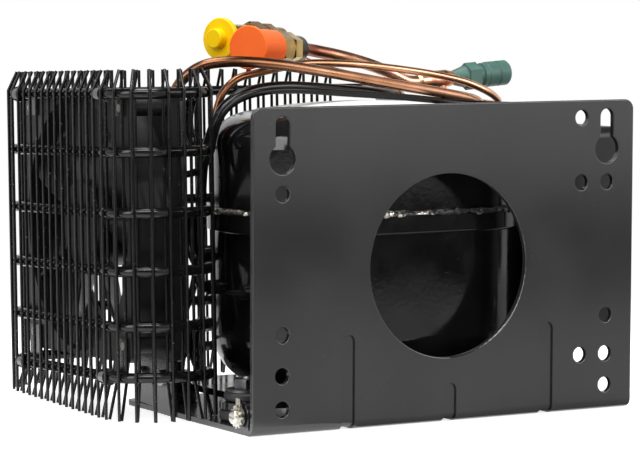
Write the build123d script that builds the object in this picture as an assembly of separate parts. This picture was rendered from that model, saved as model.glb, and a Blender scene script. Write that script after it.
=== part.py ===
from build123d import *
import math
import os

# Hermetic condensing unit on an L-shaped bracket. Lengths are in millimetres.
# +X runs along the wall plate, +Y away from the wall, +Z up. The origin is the centre of the
# base's underside.

# Bracket
base_width = 200.0
base_depth = 120.0
plate_height = 142.0
sheet = 2.5
bend_inner = 1.5
plate_round = 4.5
window_radius = 41.0
window_z = 70.0
hole_radius = 3.5
hole_x = 85.3
hole_heights = (11.3, 25.8, 43.6, 104.7)
key_head_radius = 6.5
key_head_z = 119.6
key_slot_z = 134.5
extra_hole_x = 71.3
extra_hole_heights = (25.8, 104.7, 134.1)
rim_round = 0.5
bead_width = 6.5
bead_depth = 1.0
bead_reach = 16.0
beads = ((-52.0, 42.0), (1.0, 17.5), (53.0, 42.0))
tab_near = 11.0
tab_far = 50.0
tab_height = 27.0
lug_inset = 4.0
lug_width = 12.0
lug_height = 14.0

# Clearances
seat_gap = 0.3
fit_gap = 0.05

# Compressor
shell_inset = 25.0
shell_depth = 95.0
shell_round = 47.0
shell_wall = 2.5
shell_y = 9.5
shell_bottom_z = 11.0
shell_top_z = 140.0
crown_radius = 350.0
bottom_round = 25.0
top_round = 14.0
seam_z = 86.0
seam_lip = 5.0
seam_overlap = 3.5
foot_sheet = 3.0
foot_inset = 16.0
foot_pitch = 70.0
foot_inner_x = 38.0
foot_waist = 6.0
grommet_radius = 11.8
grommet_neck = 7.5
grommet_top = 15.0
sleeve_radius = 4.0
stud_radius = 3.0
stud_top = 22.0
stud_head_radius = 4.6
washer_radius = 8.5
washer_thick = 1.2
nut_flats = 10.0
nut_height = 4.5
label_length = 92.0
label_width = 48.0
stub_radius = 3.4

# Compressor mechanism
crank_inset = 57.0
crank_throw = 8.0
shaft_radius = 7.0
stator_gap = 12.5
stator_low = 26.0
stator_height = 26.0
stator_ring = 15.0
air_gap = 0.4
winding_inset = 2.0
winding_height = 8.0
crankcase_z = 62.0
crankcase_thick = 8.0
cylinder_z = 88.0
cylinder_start = 24.0
cylinder_length = 36.0
cylinder_wall = 5.0
piston_radius = 11.0
piston_length = 20.0
rod_length = 34.0
rod_thick = 6.0
wrist_pin_radius = 3.0
head_thick = 14.0
bolt_inset = 7.5
spring_radius = 4.5
spring_wall = 1.0

# Electronics
unit_gap = 3.0
unit_width = 32.0
unit_split = 14.0
unit_near = -35.0
unit_far = 45.0
unit_low = 29.0
unit_top = 128.0
unit_wall = 2.0
board_thick = 1.6
terminal_radius = 12.0

# Fan
fan_size = 120.0
fan_thick = 25.0
fan_y = 57.0
fan_z = 85.0
fan_flange = 4.2
fan_wall = 2.0
fan_corner = 5.0
fan_hole_pitch = 105.0
fan_hub_radius = 20.0
fan_tip_gap = 1.2
fan_blades = 7
fan_rest_turn = 0.0
fan_bracket_sheet = 2.0
fan_shaft_radius = 1.5
lean_angle = 2.3
toe_angle = 3.5

# Condenser
row_heights = (19.2, 41.6, 66.0, 91.5, 118.3, 144.0)
tube_radius = 2.38
wire_radius = 0.72
wire_pitch = 7.4
weld_depth = 0.12
wire_lift = 0.3
wire_high = 8.7
wire_turn = 1.7
wire_kink = 4.2
coil_right = 45.0
coil_side_gap = 10.5
coil_face_gap = 7.5
coil_inset = 11.4
coil_end = 4.5
coil_rounds = (16.0, 20.0, 20.0)
clip_sheet = 1.2
clip_width = 5.0
clip_ring = 1.3
clip_foot = 3.5

# Pipes and couplings
discharge_radius = 2.38
liquid_radius = 1.75
suction_radius = 2.5
branch_radius = 3.0
lead_radius = 1.6
stub_reach = 5.0
stub_depth = 3.0
stub_places = {"suction": (33.0, 70.0), "discharge": (18.5, 57.0), "process": (-8.0, 57.0)}
drier_radius = 8.0
drier_length = 74.0
drier_x = 3.0
drier_y = 84.0
drier_z = 30.0
suction_front = (-52.2, 30.0, 165.0)
suction_turn = 30.0
suction_dip = 2.2
liquid_front = (-51.5, 59.0, 168.3)
liquid_turn = 22.0
liquid_dip = 2.0
coupling_length = 50.0
tee_start = (55.0, 50.0, 147.2)
tee_rise = 4.1
tee_length = 17.0
tee_radius = 4.4
branch_at = 10.0

base_left = -base_width / 2
foot_x = base_width / 2 - foot_inset
plate_outer_y = -base_depth / 2
plate_inner_y = plate_outer_y + sheet
lug_near = plate_outer_y + lug_inset
fan_right_x = base_left - fan_bracket_sheet
fan_left_x = fan_right_x - fan_thick
shell_left_x = base_left + shell_inset
shell_right_x = -shell_left_x
shell_length = shell_right_x - shell_left_x
unit_left_x = shell_right_x + unit_gap
unit_right_x = unit_left_x + unit_width
unit_split_x = unit_left_x + unit_split
coil_left = fan_left_x - coil_face_gap
coil_near = fan_y - fan_size / 2 - coil_side_gap
coil_rear = fan_y + fan_size / 2 + coil_side_gap
coil_return = base_left + coil_inset
crank_x = shell_left_x + crank_inset
stator_size = shell_depth - 2 * stator_gap
stator_bore = stator_size / 2 - stator_ring
winding_radius = stator_size / 2 - winding_inset
wire_offset = tube_radius + wire_radius - weld_depth
tab_middle = (tab_near + tab_far) / 2


def toe_in(shape):
    """Turns a shape with the bracket's tab, about the tab's upright middle line."""
    hinge = Pos(base_left, tab_middle, 0)
    return hinge * Rot(Z=-toe_angle) * hinge.inverse() * shape


def lean(shape):
    """Tips a shape back with the fan, about the fan's axis."""
    pivot = Pos(0, fan_y, fan_z)
    return pivot * Rot(X=-lean_angle) * pivot.inverse() * shape


def settle(shape):
    """Takes a fan or condenser piece from its own upright frame to its place."""
    return toe_in(lean(shape))


def settled(x, y, z):
    """The place that settle() takes a point to."""
    point = settle(Pos(x, y, z)).position
    return (point.X, point.Y, point.Z)


def slab(x0, x1, y0, y1, z0, z1):
    """A box between two corners."""
    return Pos((x0 + x1) / 2, (y0 + y1) / 2, (z0 + z1) / 2) * Box(x1 - x0, y1 - y0, z1 - z0)


def rod_x(radius, x0, x1, y, z):
    """A cylinder along X."""
    return Pos((x0 + x1) / 2, y, z) * Rot(Y=90) * Cylinder(radius, x1 - x0)


def rod_y(radius, y0, y1, x, z):
    """A cylinder along Y."""
    return Pos(x, (y0 + y1) / 2, z) * Rot(X=90) * Cylinder(radius, y1 - y0)


def rod_z(radius, z0, z1, x, y):
    """A cylinder along Z."""
    return Pos(x, y, (z0 + z1) / 2) * Cylinder(radius, z1 - z0)


def prism(outline, z0, z1):
    """An outline in plan, raised from z0 to z1."""
    return Pos(0, 0, z0) * extrude(outline, z1 - z0)


def along(origin, turn, dip=0.0):
    """A placing whose local +Z leaves the origin turned from +X towards +Y, and dipped."""
    return Pos(*origin) * Rot(Z=turn) * Rot(Y=90 + dip)


def at_length(place, distance):
    """The point that far along a placing's local Z."""
    point = (place * Pos(0, 0, distance)).position
    return (point.X, point.Y, point.Z)


def spindle(stations):
    """A solid of revolution about Z from (z, radius) stations, the first and last on its ends."""
    outline = [(0, stations[0][0])] + [(r, z) for z, r in stations] + [(0, stations[-1][0])]
    face = make_face(Polyline([(x, 0, z) for x, z in outline], close=True))
    return revolve(face, Axis.Z)


def pipe(points, radius):
    """A round bar along straight runs joined by arcs as large as the runs allow."""
    knots = [Vector(*p) for p in points]
    radii = []
    for a, b, c in zip(knots, knots[1:], knots[2:]):
        turn = math.radians((b - a).get_angle(c - b))
        radii.append(0.45 * min((b - a).length, (c - b).length) / math.tan(turn / 2))
    path = FilletPolyline(knots, radius=radii)
    solid = sweep(Plane(path @ 0, z_dir=path % 0) * Circle(radius), path=path)
    error = solid.volume / (math.pi * radius ** 2 * path.length) - 1
    print("pipe %.0f mm, tightest %.1f, volume error %.4f" % (path.length, min(radii), error))
    return solid


def joined(solids):
    """Separate solids kept as one group."""
    return Compound(children=[s.solid() for s in solids])


# ---------------------------------------------------------------- bracket
def base_bracket():
    outer = bend_inner + sheet
    upright = slab(base_left, -base_left, plate_outer_y, plate_inner_y, 0, plate_height)
    floor = slab(base_left, -base_left, plate_outer_y, base_depth / 2, 0, sheet)
    inner = slab(base_left, -base_left, plate_inner_y, plate_inner_y + bend_inner,
                 sheet, sheet + bend_inner)
    inner -= rod_x(bend_inner, base_left, -base_left, plate_inner_y + bend_inner,
                   sheet + bend_inner)
    body = upright + floor + inner
    heel = slab(base_left, -base_left, plate_outer_y, plate_outer_y + outer, 0, outer)
    heel -= rod_x(outer, base_left, -base_left, plate_outer_y + outer, outer)
    body -= heel
    for x, top in beads:
        body = bead(body, x, top)
    body -= corner_cuts()
    body -= rod_y(window_radius, plate_outer_y - 1, plate_inner_y + 1, 0, window_z)
    for x, z in wall_holes():
        body -= rod_y(hole_radius, plate_outer_y - 1, plate_inner_y + 1, x, z)
    for x in (-hole_x, hole_x):
        body -= rod_y(key_head_radius, plate_outer_y - 1, plate_inner_y + 1, x, key_head_z)
        body -= rod_y(hole_radius, plate_outer_y - 1, plate_inner_y + 1, x, key_slot_z)
        body -= slab(x - hole_radius, x + hole_radius, plate_outer_y - 1, plate_inner_y + 1,
                     key_head_z, key_slot_z)
    tab = slab(base_left, base_left + sheet, tab_near, tab_far, 0, tab_height)
    tab = fillet(tab.edges().filter_by(Axis.X).group_by(Axis.Z)[-1], plate_round)
    for y, z in tab_holes():
        tab -= lean(rod_x(2.0 - fit_gap, base_left - 1, base_left + sheet + 1, y, z))
    lug = slab(base_left, base_left + sheet, lug_near, lug_near + lug_width, 0, lug_height)
    lug = fillet(lug.edges().filter_by(Axis.X).group_by(Axis.Z)[-1], plate_round)
    body += toe_in(tab) + lug
    body -= rod_x(2.0, base_left - 1, base_left + sheet + 1, *lug_hole())
    for x, y in foot_places():
        body -= rod_z(stud_head_radius + fit_gap, -1, sheet + 1, x, y)
    return fillet(rim_edges(body), rim_round)


def rim_edges(body):
    """The plate's outer edges: its outline above the bend, and every opening's rim."""
    outer = bend_inner + sheet

    def on_face(edge):
        box = edge.bounding_box()
        flat = box.max.Y - box.min.Y < 0.01 and abs(box.min.Y - plate_outer_y) < 0.01
        beaded = any(box.min.X > x - bead_width and box.max.X < x + bead_width
                     and box.max.Z < top + 1 for x, top in beads)
        return flat and box.max.Z > outer + 1 and not beaded

    return body.edges().filter_by(on_face)


def bead(body, x, top):
    """A groove pressed in from outside, and its rib inside, around the bend."""
    half = bead_width / 2
    rib = bead_depth + bend_inner
    for y0, y1, grow in ((plate_inner_y - fit_gap, plate_inner_y + bead_depth, True),
                         (plate_outer_y - 1, plate_outer_y + bead_depth, False)):
        run = slab(x - half, x + half, y0, y1, 0, top - half) + rod_y(half, y0, y1, x, top - half)
        body = body + run if grow else body - run
    reach = plate_outer_y + bead_reach
    for z0, z1, grow in ((sheet - fit_gap, sheet + bead_depth, True), (-1, bead_depth, False)):
        run = slab(x - half, x + half, plate_outer_y, reach - half, z0, z1)
        run += rod_z(half, z0, z1, x, reach - half)
        body = body + run if grow else body - run
    body += slab(x - half, x + half, plate_inner_y, plate_inner_y + rib, sheet, sheet + rib)
    heel = bend_inner + sheet
    notch = slab(x - half, x + half, plate_outer_y - 1, plate_outer_y + heel, -1, heel)
    notch -= rod_x(heel - bead_depth, x - half, x + half, plate_outer_y + heel, heel)
    return body - notch


def corner_cuts():
    """What is cut off to round the plate's top corners and the base's far corners."""
    r = plate_round
    cuts = []
    for side in (-1, 1):
        edge = side * base_width / 2
        top = slab(min(edge, edge - side * r), max(edge, edge - side * r),
                   plate_outer_y - 1, plate_inner_y + 1, plate_height - r, plate_height + 1)
        cuts.append(top - rod_y(r, plate_outer_y - 2, plate_inner_y + 2, edge - side * r,
                                plate_height - r))
        far = slab(min(edge, edge - side * r), max(edge, edge - side * r),
                   base_depth / 2 - r, base_depth / 2 + 1, -1, sheet + 1)
        cuts.append(far - rod_z(r, -2, sheet + 2, edge - side * r, base_depth / 2 - r))
    return cuts


def wall_holes():
    places = [(side * hole_x, z) for side in (-1, 1) for z in hole_heights]
    return places + [(extra_hole_x, z) for z in extra_hole_heights]


def lug_hole():
    return lug_near + lug_width / 2, lug_height / 2 + 1


def tab_holes():
    z = tab_height / 2 + sheet
    return [(tab_near + 8, z), (tab_far - 8, z)]


def foot_places():
    return [(sx * foot_x, shell_y + sy * foot_pitch / 2) for sx in (-1, 1) for sy in (-1, 1)]


def earth_screw():
    """Screw, toothed washer and ring terminal stacked on the lug, outermost first."""
    y, z = lug_hole()
    face = base_left
    head = rod_x(3.2, face - 5.0, face - 2.6, y, z)
    head = fillet(head.edges().group_by(Axis.X)[0], 1.2)
    head -= slab(face - 6, face - 4.2, y - 2.4, y + 2.4, z - 0.5, z + 0.5)
    screw = head + rod_x(1.9, face - 2.7, face + sheet + 9, y, z)
    teeth = [Rot(X=a) * Pos(0, 4.3, 0) * Box(0.8, 1.6, 1.0) for a in range(0, 360, 30)]
    washer = rod_x(4.2, -0.4, 0.4, 0, 0) + teeth
    washer = Pos(face - 2.2, y, z) * (washer - rod_x(2.1, -1, 1, 0, 0))
    ring = rod_x(4.4, face - 1.75, face - 0.75, y, z)
    ring += slab(face - 1.75, face - 0.75, y - 2, y + 2, z, z + 8)
    ring -= rod_x(2.1, face - 3, face, y, z)
    nut = hexagon_x(7.0, face + sheet + fit_gap, face + sheet + 3.2, y, z)
    nut -= rod_x(2.1, face, face + 10, y, z)
    return joined([screw, washer, ring, nut])


def hexagon_x(flats, x0, x1, y, z):
    return Pos(x0, y, z) * Rot(Y=90) * extrude(RegularPolygon(flats / math.sqrt(3), 6), x1 - x0)


# ---------------------------------------------------------------- compressor
def stadium(grow=0.0):
    """The shell's plan outline, grown or shrunk all round."""
    width = shell_depth + 2 * grow
    corner = min(shell_round + grow, width / 2 - 0.2)
    return Pos(0, shell_y) * RectangleRounded(shell_length + 2 * grow, width, corner)


def crown(grow=0.0):
    """The ball whose top is the shell's crown."""
    return Pos(0, shell_y, shell_top_z - crown_radius) * Rot(X=90) * Sphere(crown_radius + grow)


def lower_form(grow=0.0):
    """The lower shell's filled form."""
    form = prism(stadium(grow), shell_bottom_z - grow, seam_z)
    return fillet(form.edges().group_by(Axis.Z)[0], bottom_round + grow)


def upper_form(grow=0.0, low=seam_z):
    """The upper shell's filled form."""
    form = prism(stadium(grow), low, shell_top_z + 5) & crown(grow)
    rim = form.edges().filter_by(lambda e: e.bounding_box().min.Z > low + 5)
    return fillet(rim, top_round + grow)


def lower_shell():
    lip_low = seam_z - seam_overlap
    body = lower_form() - lower_form(-shell_wall)
    body -= prism(stadium(-shell_wall), seam_z - 20, seam_z + 1)
    lip = prism(stadium(shell_wall + fit_gap), lip_low, seam_z + seam_lip)
    lip = fillet(lip.edges().group_by(Axis.Z)[0], shell_wall / 2)
    lip -= prism(stadium(-shell_wall), lip_low - 1, seam_z)
    lip -= prism(stadium(fit_gap), seam_z, seam_z + seam_lip + 1)
    body += lip
    body -= rod_x(terminal_radius, shell_right_x - 12, shell_right_x + 5, *terminal_place())
    for x, y in bolt_places():
        seat = rod_z(spring_radius + 1, shell_bottom_z + 1, stator_low - 6, x, y)
        body += seat & lower_form(-shell_wall / 2)
    return body


def upper_shell():
    body = upper_form(low=seam_z + fit_gap) - upper_form(-shell_wall, seam_z - 1)
    return body


def terminal_place():
    return shell_y, seam_z - 22


def seam_weld():
    z = seam_z + seam_lip
    bead_form = prism(stadium(shell_wall - 0.2), z + fit_gap, z + 1.8)
    bead_form = fillet(bead_form.edges().group_by(Axis.Z)[-1], 1.2)
    return bead_form - prism(stadium(fit_gap), z - 1, z + 3)


def compressor_label():
    skin = crown(0.35) - crown(0.1)
    flat = Pos(0, shell_y) * RectangleRounded(label_length, label_width, 3)
    return skin & prism(flat, shell_top_z - 20, shell_top_z + 5)


def foot_plates():
    low = shell_bottom_z - foot_sheet
    feet = []
    for side in (-1, 1):
        x0, x1 = sorted((side * foot_inner_x, side * (foot_x - foot_waist)))
        reach = foot_pitch / 2 + grommet_radius
        foot = slab(x0, x1, shell_y - reach, shell_y + reach, low, shell_bottom_z)
        foot = fillet(foot.edges().filter_by(Axis.Z), grommet_radius - 1)
        for x, y in foot_places():
            if x * side > 0:
                foot += rod_z(grommet_radius, low, shell_bottom_z, x, y)
                foot -= rod_z(grommet_neck + seat_gap, 0, stud_top, x, y)
        feet.append(foot)
    return joined(feet)


def rubber_grommets():
    low = shell_bottom_z - foot_sheet
    parts = []
    for x, y in foot_places():
        foot = rod_z(grommet_radius, sheet + fit_gap, low - seat_gap, x, y)
        foot = fillet(foot.edges(), 1.5)
        neck = rod_z(grommet_neck, low - 1, shell_bottom_z + 1, x, y)
        cap = rod_z(grommet_radius - 2, shell_bottom_z + seat_gap, grommet_top, x, y)
        cap = fillet(cap.edges(), 1.2)
        parts.append(foot + neck + cap - rod_z(sleeve_radius + fit_gap, 0, stud_top, x, y))
    return joined(parts)


def spacer_sleeves():
    return joined([rod_z(sleeve_radius, sheet + fit_gap, grommet_top + 0.2, x, y)
                   - rod_z(stud_radius + fit_gap, 0, stud_top, x, y) for x, y in foot_places()])


def mounting_studs():
    studs = []
    for x, y in foot_places():
        shank = rod_z(stud_radius, 1, stud_top, x, y)
        shank = chamfer(shank.edges().group_by(Axis.Z)[-1], 0.8)
        studs.append(shank + rod_z(stud_head_radius, fit_gap, sheet - fit_gap, x, y))
    return joined(studs)


def foot_washers():
    z = grommet_top + 0.2 + fit_gap
    return joined([rod_z(washer_radius, z, z + washer_thick, x, y)
                   - rod_z(stud_radius + 0.2, 0, stud_top, x, y) for x, y in foot_places()])


def foot_nuts():
    z = grommet_top + 0.2 + 2 * fit_gap + washer_thick
    nut = extrude(RegularPolygon(nut_flats / math.sqrt(3), 6), nut_height)
    nut -= Cylinder(stud_radius + fit_gap, 4 * nut_height)
    nut &= Pos(0, 0, nut_height / 2) * Sphere(nut_flats * 0.6)
    return joined([Pos(x, y, z) * nut for x, y in foot_places()])


def shell_end_x(y):
    """The shell's left end at a distance from its middle."""
    dy = y - shell_y
    return shell_left_x + shell_round - math.sqrt(shell_round ** 2 - dy ** 2)


def stub_end(name):
    """The mouth of a stub: its place on the shell's left end, and how far out it reaches."""
    y, z = stub_places[name]
    return shell_end_x(y) - stub_reach, y, z


def tube_stubs():
    stubs = []
    for name in stub_places:
        end, y, z = stub_end(name)
        stub = rod_x(stub_radius, end, end + stub_reach + 3, y, z) - lower_form(fit_gap)
        if name == "process":
            stub += slab(end - 6, end + 0.5, y - stub_radius, y + stub_radius, z - 0.8, z + 0.8)
        else:
            stub -= rod_x(pipe_radius(name) + fit_gap, end - 1, end + stub_depth, y, z)
        stubs.append(stub)
    return joined(stubs)


def pipe_radius(name):
    return suction_radius if name == "suction" else discharge_radius


def hermetic_terminal():
    y, z = terminal_place()
    body = rod_x(terminal_radius - fit_gap, shell_right_x - 4.5, shell_right_x + 0.5, y, z)
    for angle in (90, 210, 330):
        dy = 5 * math.cos(math.radians(angle))
        dz = 5 * math.sin(math.radians(angle))
        body += rod_x(1.1, shell_right_x - 9, shell_right_x + 2.4, y + dy, z + dz)
    return body


# ---------------------------------------------------------------- compressor mechanism
def bolt_places():
    reach = stator_size / 2 - bolt_inset
    return [(crank_x + sx * reach, shell_y + sy * reach) for sx in (-1, 1) for sy in (-1, 1)]


def motor_stator():
    stack = Pos(crank_x, shell_y) * RectangleRounded(stator_size, stator_size, 6)
    body = prism(stack, stator_low, stator_low + stator_height)
    body -= rod_z(stator_bore, 0, shell_top_z, crank_x, shell_y)
    for x, y in bolt_places():
        body -= rod_z(2.3, 0, shell_top_z, x, y)
    return body


def motor_windings():
    rings = []
    for z in (stator_low - winding_height - fit_gap, stator_low + stator_height + fit_gap):
        ring = rod_z(winding_radius, z, z + winding_height, crank_x, shell_y)
        ring = fillet(ring.edges(), 2.5)
        rings.append(ring - rod_z(stator_bore + 2, 0, shell_top_z, crank_x, shell_y))
    return joined(rings)


def motor_rotor():
    top = stator_low + stator_height
    body = rod_z(stator_bore - air_gap, stator_low - 4, top + 2, crank_x, shell_y)
    return body - rod_z(shaft_radius, 0, shell_top_z, crank_x, shell_y)


def crankshaft():
    web_z = crankcase_z + crankcase_thick + 2
    pin_top = cylinder_z - rod_thick / 2 - seat_gap
    body = rod_z(shaft_radius, stator_low - 6, web_z + 1, crank_x, shell_y)
    body += rod_z(crank_throw + shaft_radius, web_z, web_z + 5, crank_x, shell_y)
    return body + rod_z(4.5, web_z, pin_top, crank_x + crank_throw, shell_y)


def crankcase():
    top = crankcase_z + crankcase_thick
    start = crank_x + cylinder_start
    end = start + cylinder_length
    outer = piston_radius + cylinder_wall
    body = slab(crank_x - stator_size / 2, end, shell_y - stator_size / 2,
                shell_y + stator_size / 2, crankcase_z, top)
    body = fillet(body.edges().filter_by(Axis.Z), 6)
    body += slab(start, end, shell_y - outer, shell_y + outer, top, cylinder_z)
    body += rod_x(outer, start, end, shell_y, cylinder_z)
    body -= rod_x(piston_radius + fit_gap, start - 1, end + 1, shell_y, cylinder_z)
    body -= rod_z(shaft_radius + fit_gap, 0, shell_top_z, crank_x, shell_y)
    for x, y in bolt_places():
        body -= rod_z(2.3, 0, shell_top_z, x, y)
    return body


def piston_middle():
    return crank_x + crank_throw + rod_length


def piston():
    x = piston_middle()
    body = rod_x(piston_radius, x - piston_length / 2, x + piston_length / 2, shell_y, cylinder_z)
    body -= slab(x - piston_length, x + 5, shell_y - 5, shell_y + 5,
                 cylinder_z - rod_thick / 2 - 1, cylinder_z + rod_thick / 2 + 1)
    return body - rod_z(wrist_pin_radius + fit_gap, crankcase_z, shell_top_z, x, shell_y)


def connecting_rod():
    x0 = crank_x + crank_throw
    x1 = piston_middle()
    low = cylinder_z - rod_thick / 2
    high = cylinder_z + rod_thick / 2
    body = rod_z(8, low, high, x0, shell_y) + rod_z(4.8, low, high, x1, shell_y)
    body += slab(x0, x1, shell_y - 3, shell_y + 3, low, high)
    body -= rod_z(4.6, low - 1, high + 1, x0, shell_y)
    return body - rod_z(wrist_pin_radius + fit_gap, low - 1, high + 1, x1, shell_y)


def wrist_pin():
    reach = piston_radius - 1.6
    return rod_z(wrist_pin_radius, cylinder_z - reach, cylinder_z + reach, piston_middle(), shell_y)


def cylinder_head():
    start = crank_x + cylinder_start + cylinder_length + fit_gap
    body = rod_x(piston_radius + cylinder_wall, start, start + head_thick, shell_y, cylinder_z)
    return fillet(body.edges().group_by(Axis.X)[-1], 3)


def stator_bolts():
    low = stator_low - 3
    top = crankcase_z + crankcase_thick
    bolts = []
    for x, y in bolt_places():
        head = rod_z(3.6, low, stator_low - fit_gap, x, y)
        bolts.append(head + rod_z(2.2, low, top, x, y))
    return joined(bolts)


def suspension_springs():
    low = stator_low - 6 + fit_gap
    high = stator_low - 3 - fit_gap
    return joined([rod_z(spring_radius, low, high, x, y)
                   - rod_z(spring_radius - spring_wall, 0, shell_top_z, x, y) for x, y in bolt_places()])


# ---------------------------------------------------------------- electronics
def electronics_bracket():
    body = slab(shell_right_x - 8, unit_left_x - fit_gap, shell_y - 20, shell_y + 20, 40, seam_z - 8)
    body -= prism(stadium(fit_gap), 30, seam_z)
    return body - rod_x(terminal_radius + 0.5, shell_right_x - 25, unit_left_x, *terminal_place())


def tray(x0, x1, open_right):
    """Half of the electronics case, open towards the other half."""
    body = slab(x0, x1, unit_near, unit_far, unit_low, unit_top)
    body = fillet(body.edges().filter_by(Axis.X), 5)
    closed = body.edges().group_by(Axis.X)[0 if open_right else -1]
    body = fillet(closed, 1.8)
    w = unit_wall
    if open_right:
        return body - slab(x0 + w, x1 + 1, unit_near + w, unit_far - w, unit_low + w, unit_top - w)
    return body - slab(x0 - 1, x1 - w, unit_near + w, unit_far - w, unit_low + w, unit_top - w)


def cover_screw_places():
    inset = 7.0
    return [(y, z) for y in (unit_near + inset, unit_far - inset)
            for z in (unit_low + inset, unit_top - inset)]


def electronics_housing():
    body = tray(unit_left_x, unit_split_x, True)
    for y, z in cover_screw_places():
        body += rod_x(4, unit_left_x + 1, unit_split_x, y, z)
        body -= rod_x(1.5, unit_left_x + 4, unit_split_x + 1, y, z)
    body -= rod_x(terminal_radius, unit_left_x - 1, unit_left_x + 5, *terminal_place())
    return body


def electronics_cover():
    body = tray(unit_split_x + seat_gap, unit_right_x, False)
    for i in range(7):
        y = shell_y - 30 + 10 * i
        body += slab(unit_right_x - 1, unit_right_x + 4, y - 1, y + 1, unit_low + 14, unit_top - 14)
    for y, z in cover_screw_places():
        body += rod_x(4, unit_split_x + seat_gap, unit_right_x - 1, y, z)
        body -= rod_x(1.8, unit_split_x - 1, unit_right_x + 1, y, z)
        body -= rod_x(3.4, unit_right_x - 2.2, unit_right_x + 6, y, z)
    body -= rod_z(lead_radius + 0.4, unit_top - 4, unit_top + 2, *lead_entry())
    for i in range(4):
        y = terminal_row_y(i)
        body -= slab(unit_split_x + 5, unit_split_x + 7, y - 3.4, y + 3.4, unit_low - 1, unit_low + 3)
    return body


def lead_entry():
    return unit_split_x + 6, 5.0


def terminal_row_y(index):
    return shell_y - 18 + 12 * index


def circuit_board():
    x = unit_split_x + 8.5
    edge = unit_wall + 10
    board = slab(x, x + board_thick, unit_near + edge, unit_far - edge,
                 unit_low + 4, unit_top - edge)
    for y, z, r, h in ((-12, 100, 5, 11), (2, 100, 5, 11), (22, 96, 6, 12), (20, 60, 4, 9)):
        board += rod_x(r, x - h + 0.5, x + 0.5, y, z)
    board += slab(x - 5, x + 0.5, -18, -2, 50, 78)
    return board


def power_terminals():
    x = unit_split_x + 6
    blades = []
    for i in range(4):
        y = terminal_row_y(i)
        blade = slab(x - 0.4, x + 0.4, y - 3.15, y + 3.15, unit_low - 7, unit_low + 8)
        blade = chamfer(blade.edges().filter_by(Axis.X).group_by(Axis.Z)[0], 1.4)
        blades.append(blade + slab(x - 0.4, x + 2.4, y - 3, y + 3, unit_low + 6, unit_low + 8))
    return joined(blades)


def cover_screws():
    screws = []
    for y, z in cover_screw_places():
        head_x = unit_right_x - 2.2
        head = rod_x(3.0, head_x + fit_gap, head_x + 2, y, z)
        shank = rod_x(1.45, unit_left_x + 5, head_x + 0.5, y, z)
        screws.append(head + shank - rod_x(1.2, head_x + 1, head_x + 3, y, z))
    return joined(screws)


# ---------------------------------------------------------------- fan
def fan_hole_places():
    half = fan_hole_pitch / 2
    return [(fan_y + sy * half, fan_z + sz * half) for sy in (-1, 1) for sz in (-1, 1)]


def fan_plate(x0, x1):
    half = fan_size / 2
    plate = slab(x0, x1, fan_y - half, fan_y + half, fan_z - half, fan_z + half)
    return fillet(plate.edges().filter_by(Axis.X), fan_corner)


def fan_frame():
    duct = fan_size / 2 - fan_wall
    body = fan_plate(fan_left_x, fan_left_x + fan_flange)
    body += fan_plate(fan_right_x - fan_flange, fan_right_x)
    body += rod_x(fan_size / 2 - 0.4, fan_left_x, fan_right_x, fan_y, fan_z)
    for y, z in fan_hole_places():
        body += rod_x(3.6, fan_left_x, fan_right_x, y, z)
    body -= rod_x(duct, fan_left_x - 1, fan_right_x + 1, fan_y, fan_z)
    seat = rod_x(fan_hub_radius, fan_right_x - 2.4, fan_right_x, fan_y, fan_z)
    seat += rod_x(5.0, fan_left_x + 9, fan_right_x, fan_y, fan_z)
    seat -= rod_x(3.6, fan_left_x + 8, fan_right_x - 1, fan_y, fan_z)
    body += seat
    for angle in (58, 148, 238, 328):
        arm = slab(fan_right_x - 3.6, fan_right_x, fan_hub_radius - 1, duct + 1, -2.2, 2.2)
        body += Pos(0, fan_y, fan_z) * Rot(X=angle) * arm
    for y, z in fan_hole_places():
        body -= rod_x(2.2, fan_left_x - 1, fan_right_x + 1, y, z)
    return settle(body)


def fan_blade():
    """One twisted blade about the X axis, from the hub's wall to the tip."""
    tip = fan_size / 2 - fan_wall - fan_tip_gap
    middle = (fan_hub_radius + tip) / 2
    faces = []
    for radius, chord, pitch in ((fan_hub_radius - 1, 19.0, 48.0), (middle, 29.0, 36.0),
                                 (tip - 0.6, 36.0, 27.0)):
        outline = RectangleRounded(chord, 1.7, 0.8)
        faces.append(Pos(0, 0, radius) * Rot(Z=90 + pitch) * outline)
    blade = loft(faces)
    return blade & Rot(Y=90) * Cylinder(tip, fan_thick)


def fan_rotor():
    low = fan_left_x + 1.5
    high = fan_right_x - 5.0
    cup = rod_x(fan_hub_radius, low, high, fan_y, fan_z)
    cup = fillet(cup.edges().group_by(Axis.X)[0], 1.5)
    blade = fan_blade()
    middle = (low + high) / 2 - 0.5
    for i in range(fan_blades):
        body = Pos(middle, fan_y, fan_z) * Rot(X=fan_rest_turn + 360 / fan_blades * i) * blade
        cup += body
    cup -= rod_x(fan_hub_radius - 1.6, low + 2, fan_right_x, fan_y, fan_z)
    cup += rod_x(4.0, low + 1, low + 6, fan_y, fan_z)
    cup -= rod_x(fan_shaft_radius, low + 0.6, high, fan_y, fan_z)
    return settle(cup)


def fan_magnet():
    low = fan_left_x + 1.5 + 5
    outer = fan_hub_radius - 1.6 - fit_gap
    ring = rod_x(outer, low, fan_right_x - 5.5, fan_y, fan_z)
    return settle(ring - rod_x(outer - 2.2, low - 1, fan_right_x, fan_y, fan_z))


def fan_shaft():
    return settle(rod_x(fan_shaft_radius, fan_left_x + 2.2, fan_right_x - 1.8, fan_y, fan_z))


def fan_bearings():
    rings = []
    for x in (fan_left_x + 10, fan_right_x - 5):
        ring = rod_x(3.55, x, x + 3, fan_y, fan_z)
        rings.append(ring - rod_x(fan_shaft_radius + fit_gap, x - 1, x + 4, fan_y, fan_z))
    return joined([settle(ring) for ring in rings])


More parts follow.
